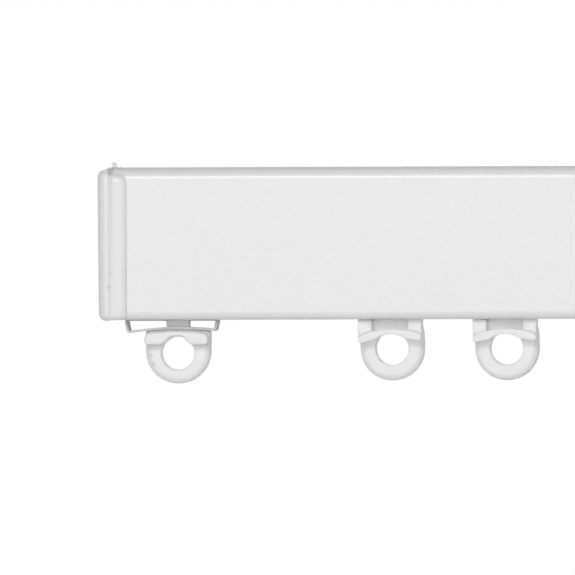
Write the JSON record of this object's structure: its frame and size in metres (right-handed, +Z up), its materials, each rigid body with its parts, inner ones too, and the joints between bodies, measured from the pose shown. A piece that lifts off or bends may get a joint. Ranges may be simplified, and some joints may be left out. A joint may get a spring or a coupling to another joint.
{
  "type": "curtain track",
  "caption": "Hollow plastic wall track for a curtain, with capped ends, hook gliders that slide below it, sprung end stops and turn-lock wall brackets.",
  "frame": {"origin": "middle of the four wall screw holes, on the wall face of the brackets", "axes": "+X along the rail to the right as seen from the room, +Y into the wall, +Z up"},
  "size_m": [0.6054, 0.0342, 0.0426],
  "materials": {
    "rail_pvc": "white PVC extrusion, satin",
    "cap_moulding": "white moulded plastic, satin",
    "glider_moulding": "white moulded acetal, soft gloss",
    "spring_steel": "thin bright spring strip",
    "bracket_moulding": "white moulded nylon, fine matt grain",
    "lock_moulding": "white moulded acetal"
  },
  "bodies": {
    "track": {"rail": "rail_pvc", "end_cap_left": "cap_moulding", "end_cap_right": "cap_moulding", "bracket_left": "bracket_moulding", "bracket_right": "bracket_moulding"},
    "glider_1": {"glider_1": "glider_moulding"},
    "glider_2": {"glider_2": "glider_moulding"},
    "glider_3": {"glider_3": "glider_moulding"},
    "glider_4": {"glider_4": "glider_moulding"},
    "glider_5": {"glider_5": "glider_moulding"},
    "glider_6": {"glider_6": "glider_moulding"},
    "glider_7": {"glider_7": "glider_moulding"},
    "end_stop_left": {"end_stop_left": "glider_moulding", "stop_spring_left": "spring_steel"},
    "end_stop_right": {"end_stop_right": "glider_moulding", "stop_spring_right": "spring_steel"},
    "lock_left": {"lock_cam_left": "lock_moulding", "lock_lever_left": "lock_moulding"},
    "lock_right": {"lock_cam_right": "lock_moulding", "lock_lever_right": "lock_moulding"}
  },
  "joints": [
    {"name": "glider_1_slide", "type": "slide", "parent": "track", "child": "glider_1", "axis": [1, 0, 0], "range_m": [-0.0137, 0.0047]},
    {"name": "glider_2_slide", "type": "slide", "parent": "track", "child": "glider_2", "axis": [1, 0, 0], "range_m": [-0.0047, 0.049]},
    {"name": "glider_3_slide", "type": "slide", "parent": "track", "child": "glider_3", "axis": [1, 0, 0], "range_m": [-0.049, 0.049]},
    {"name": "glider_4_slide", "type": "slide", "parent": "track", "child": "glider_4", "axis": [1, 0, 0], "range_m": [-0.049, 0.049]},
    {"name": "glider_5_slide", "type": "slide", "parent": "track", "child": "glider_5", "axis": [1, 0, 0], "range_m": [-0.049, 0.049]},
    {"name": "glider_6_slide", "type": "slide", "parent": "track", "child": "glider_6", "axis": [1, 0, 0], "range_m": [-0.049, 0.0047]},
    {"name": "glider_7_slide", "type": "slide", "parent": "track", "child": "glider_7", "axis": [1, 0, 0], "range_m": [-0.0047, 0.0123]},
    {"name": "end_stop_left_slide", "type": "slide", "parent": "track", "child": "end_stop_left", "axis": [1, 0, 0], "range_m": [-0.0023, 0.0137]},
    {"name": "end_stop_right_slide", "type": "slide", "parent": "track", "child": "end_stop_right", "axis": [1, 0, 0], "range_m": [-0.0123, 0.0047]},
    {"name": "lock_left_turn", "type": "hinge", "parent": "track", "child": "lock_left", "pos_m": [-0.2, -0.018, 0], "axis": [0, 1, 0], "range_deg": [0, 90]},
    {"name": "lock_right_turn", "type": "hinge", "parent": "track", "child": "lock_right", "pos_m": [0.2, -0.018, 0], "axis": [0, 1, 0], "range_deg": [0, 90]}
  ]
}
